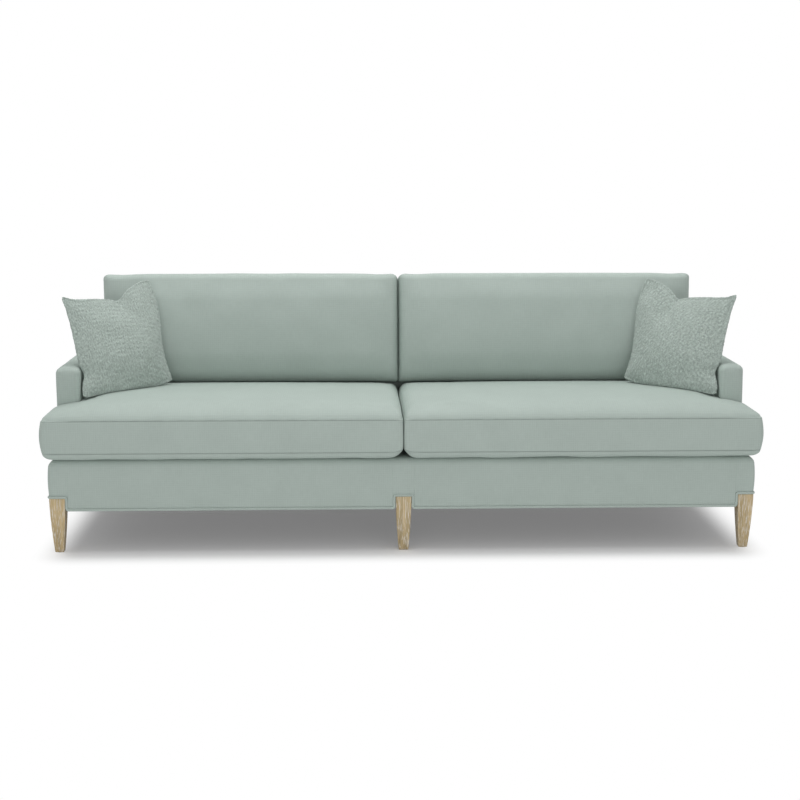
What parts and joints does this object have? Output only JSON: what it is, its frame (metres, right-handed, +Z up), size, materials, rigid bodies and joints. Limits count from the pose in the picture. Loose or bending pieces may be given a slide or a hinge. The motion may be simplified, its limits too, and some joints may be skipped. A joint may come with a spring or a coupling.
{
  "type": "sofa",
  "caption": "Long upholstered sofa with low set-back arms, boxed seat cushions whose ears wrap the arm fronts, loose back cushions, throw pillows and square tapered legs.",
  "frame": {"origin": "on the floor, under the middle of the sofa's outline", "axes": "+X to the right of a viewer facing the sofa, +Y to its back, +Z up"},
  "size_m": [2.44, 0.938, 0.8934],
  "materials": {
    "body_fabric": "fine plain weave, matt, sea green",
    "boucle_fabric": "nubby looped weave, matt",
    "cushion_filling": "foam wrapped in fibre",
    "decking_cloth": "plain lining cloth",
    "cambric": "thin black nonwoven",
    "leg_oak": "washed and limed oak, matt",
    "frame_wood": "sawn hardwood",
    "wadding": "polyester wadding and felt",
    "spring_steel": "drawn wire and pressed sheet",
    "webbing": "woven jute",
    "glide_nylon": "moulded",
    "card_liner": "grey-brown board"
  },
  "bodies": {
    "frame": {"arm_cover_left": "body_fabric", "arm_cover_right": "body_fabric", "arm_pad_left": "wadding", "arm_pad_right": "wadding", "arm_post_left": "frame_wood", "arm_post_right": "frame_wood", "arm_tack_rails": "frame_wood", "arm_top_rail_left": "frame_wood", "arm_top_rail_right": "frame_wood", "back_cover": "body_fabric", "back_lower_rails": "frame_wood", "back_post_left": "frame_wood", "back_post_middle": "frame_wood", "back_post_right": "frame_wood", "back_top_rail": "frame_wood", "back_upper_rails": "frame_wood", "back_webbing": "webbing", "base_front_cover": "body_fabric", "base_welt": "body_fabric", "centre_rail": "frame_wood", "deck_cover": "decking_cloth", "deck_pad": "wadding", "dust_cover": "cambric", "front_border_pad": "wadding", "front_leg_left": "leg_oak", "front_leg_middle": "leg_oak", "front_leg_right": "leg_oak", "front_post_left": "frame_wood", "front_post_middle": "frame_wood", "front_post_right": "frame_wood", "front_rail_left": "frame_wood", "front_rail_right": "frame_wood", "hanger_bolts": "spring_steel", "inside_back_pad": "wadding", "leg_glides": "glide_nylon", "outside_back_liner": "card_liner", "rear_leg_left": "leg_oak", "rear_leg_middle": "leg_oak", "rear_leg_right": "leg_oak", "rear_rail_left": "frame_wood", "rear_rail_right": "frame_wood", "seat_springs": "spring_steel", "side_rail_left": "frame_wood", "side_rail_right": "frame_wood", "spring_clips": "spring_steel", "spring_insulator": "wadding", "threaded_inserts": "spring_steel"},
    "seat_cushion_left": {"seat_cushion_cover_left": "body_fabric", "seat_cushion_core_left": "cushion_filling"},
    "back_cushion_left": {"back_cushion_cover_left": "body_fabric", "back_cushion_core_left": "cushion_filling"},
    "throw_pillow_left": {"throw_pillow_cover_left": "boucle_fabric", "throw_pillow_core_left": "cushion_filling"},
    "seat_cushion_right": {"seat_cushion_cover_right": "body_fabric", "seat_cushion_core_right": "cushion_filling"},
    "back_cushion_right": {"back_cushion_cover_right": "body_fabric", "back_cushion_core_right": "cushion_filling"},
    "throw_pillow_right": {"throw_pillow_cover_right": "boucle_fabric", "throw_pillow_core_right": "cushion_filling"}
  },
  "joints": [
    {"name": "seat_cushion_left_slide", "type": "slide", "parent": "frame", "child": "seat_cushion_left", "axis": [0, -1, 0], "range_m": [0, 0.75]},
    {"name": "back_cushion_left_lift", "type": "slide", "parent": "frame", "child": "back_cushion_left", "axis": [0, 0.1736, 0.9848], "range_m": [0, 0.45]},
    {"name": "throw_pillow_left_lift", "type": "slide", "parent": "seat_cushion_left", "child": "throw_pillow_left", "axis": [0, 0, 1], "range_m": [0, 0.4]},
    {"name": "seat_cushion_right_slide", "type": "slide", "parent": "frame", "child": "seat_cushion_right", "axis": [0, -1, 0], "range_m": [0, 0.75]},
    {"name": "back_cushion_right_lift", "type": "slide", "parent": "frame", "child": "back_cushion_right", "axis": [0, 0.1736, 0.9848], "range_m": [0, 0.45]},
    {"name": "throw_pillow_right_lift", "type": "slide", "parent": "seat_cushion_right", "child": "throw_pillow_right", "axis": [0, 0, 1], "range_m": [0, 0.4]}
  ]
}
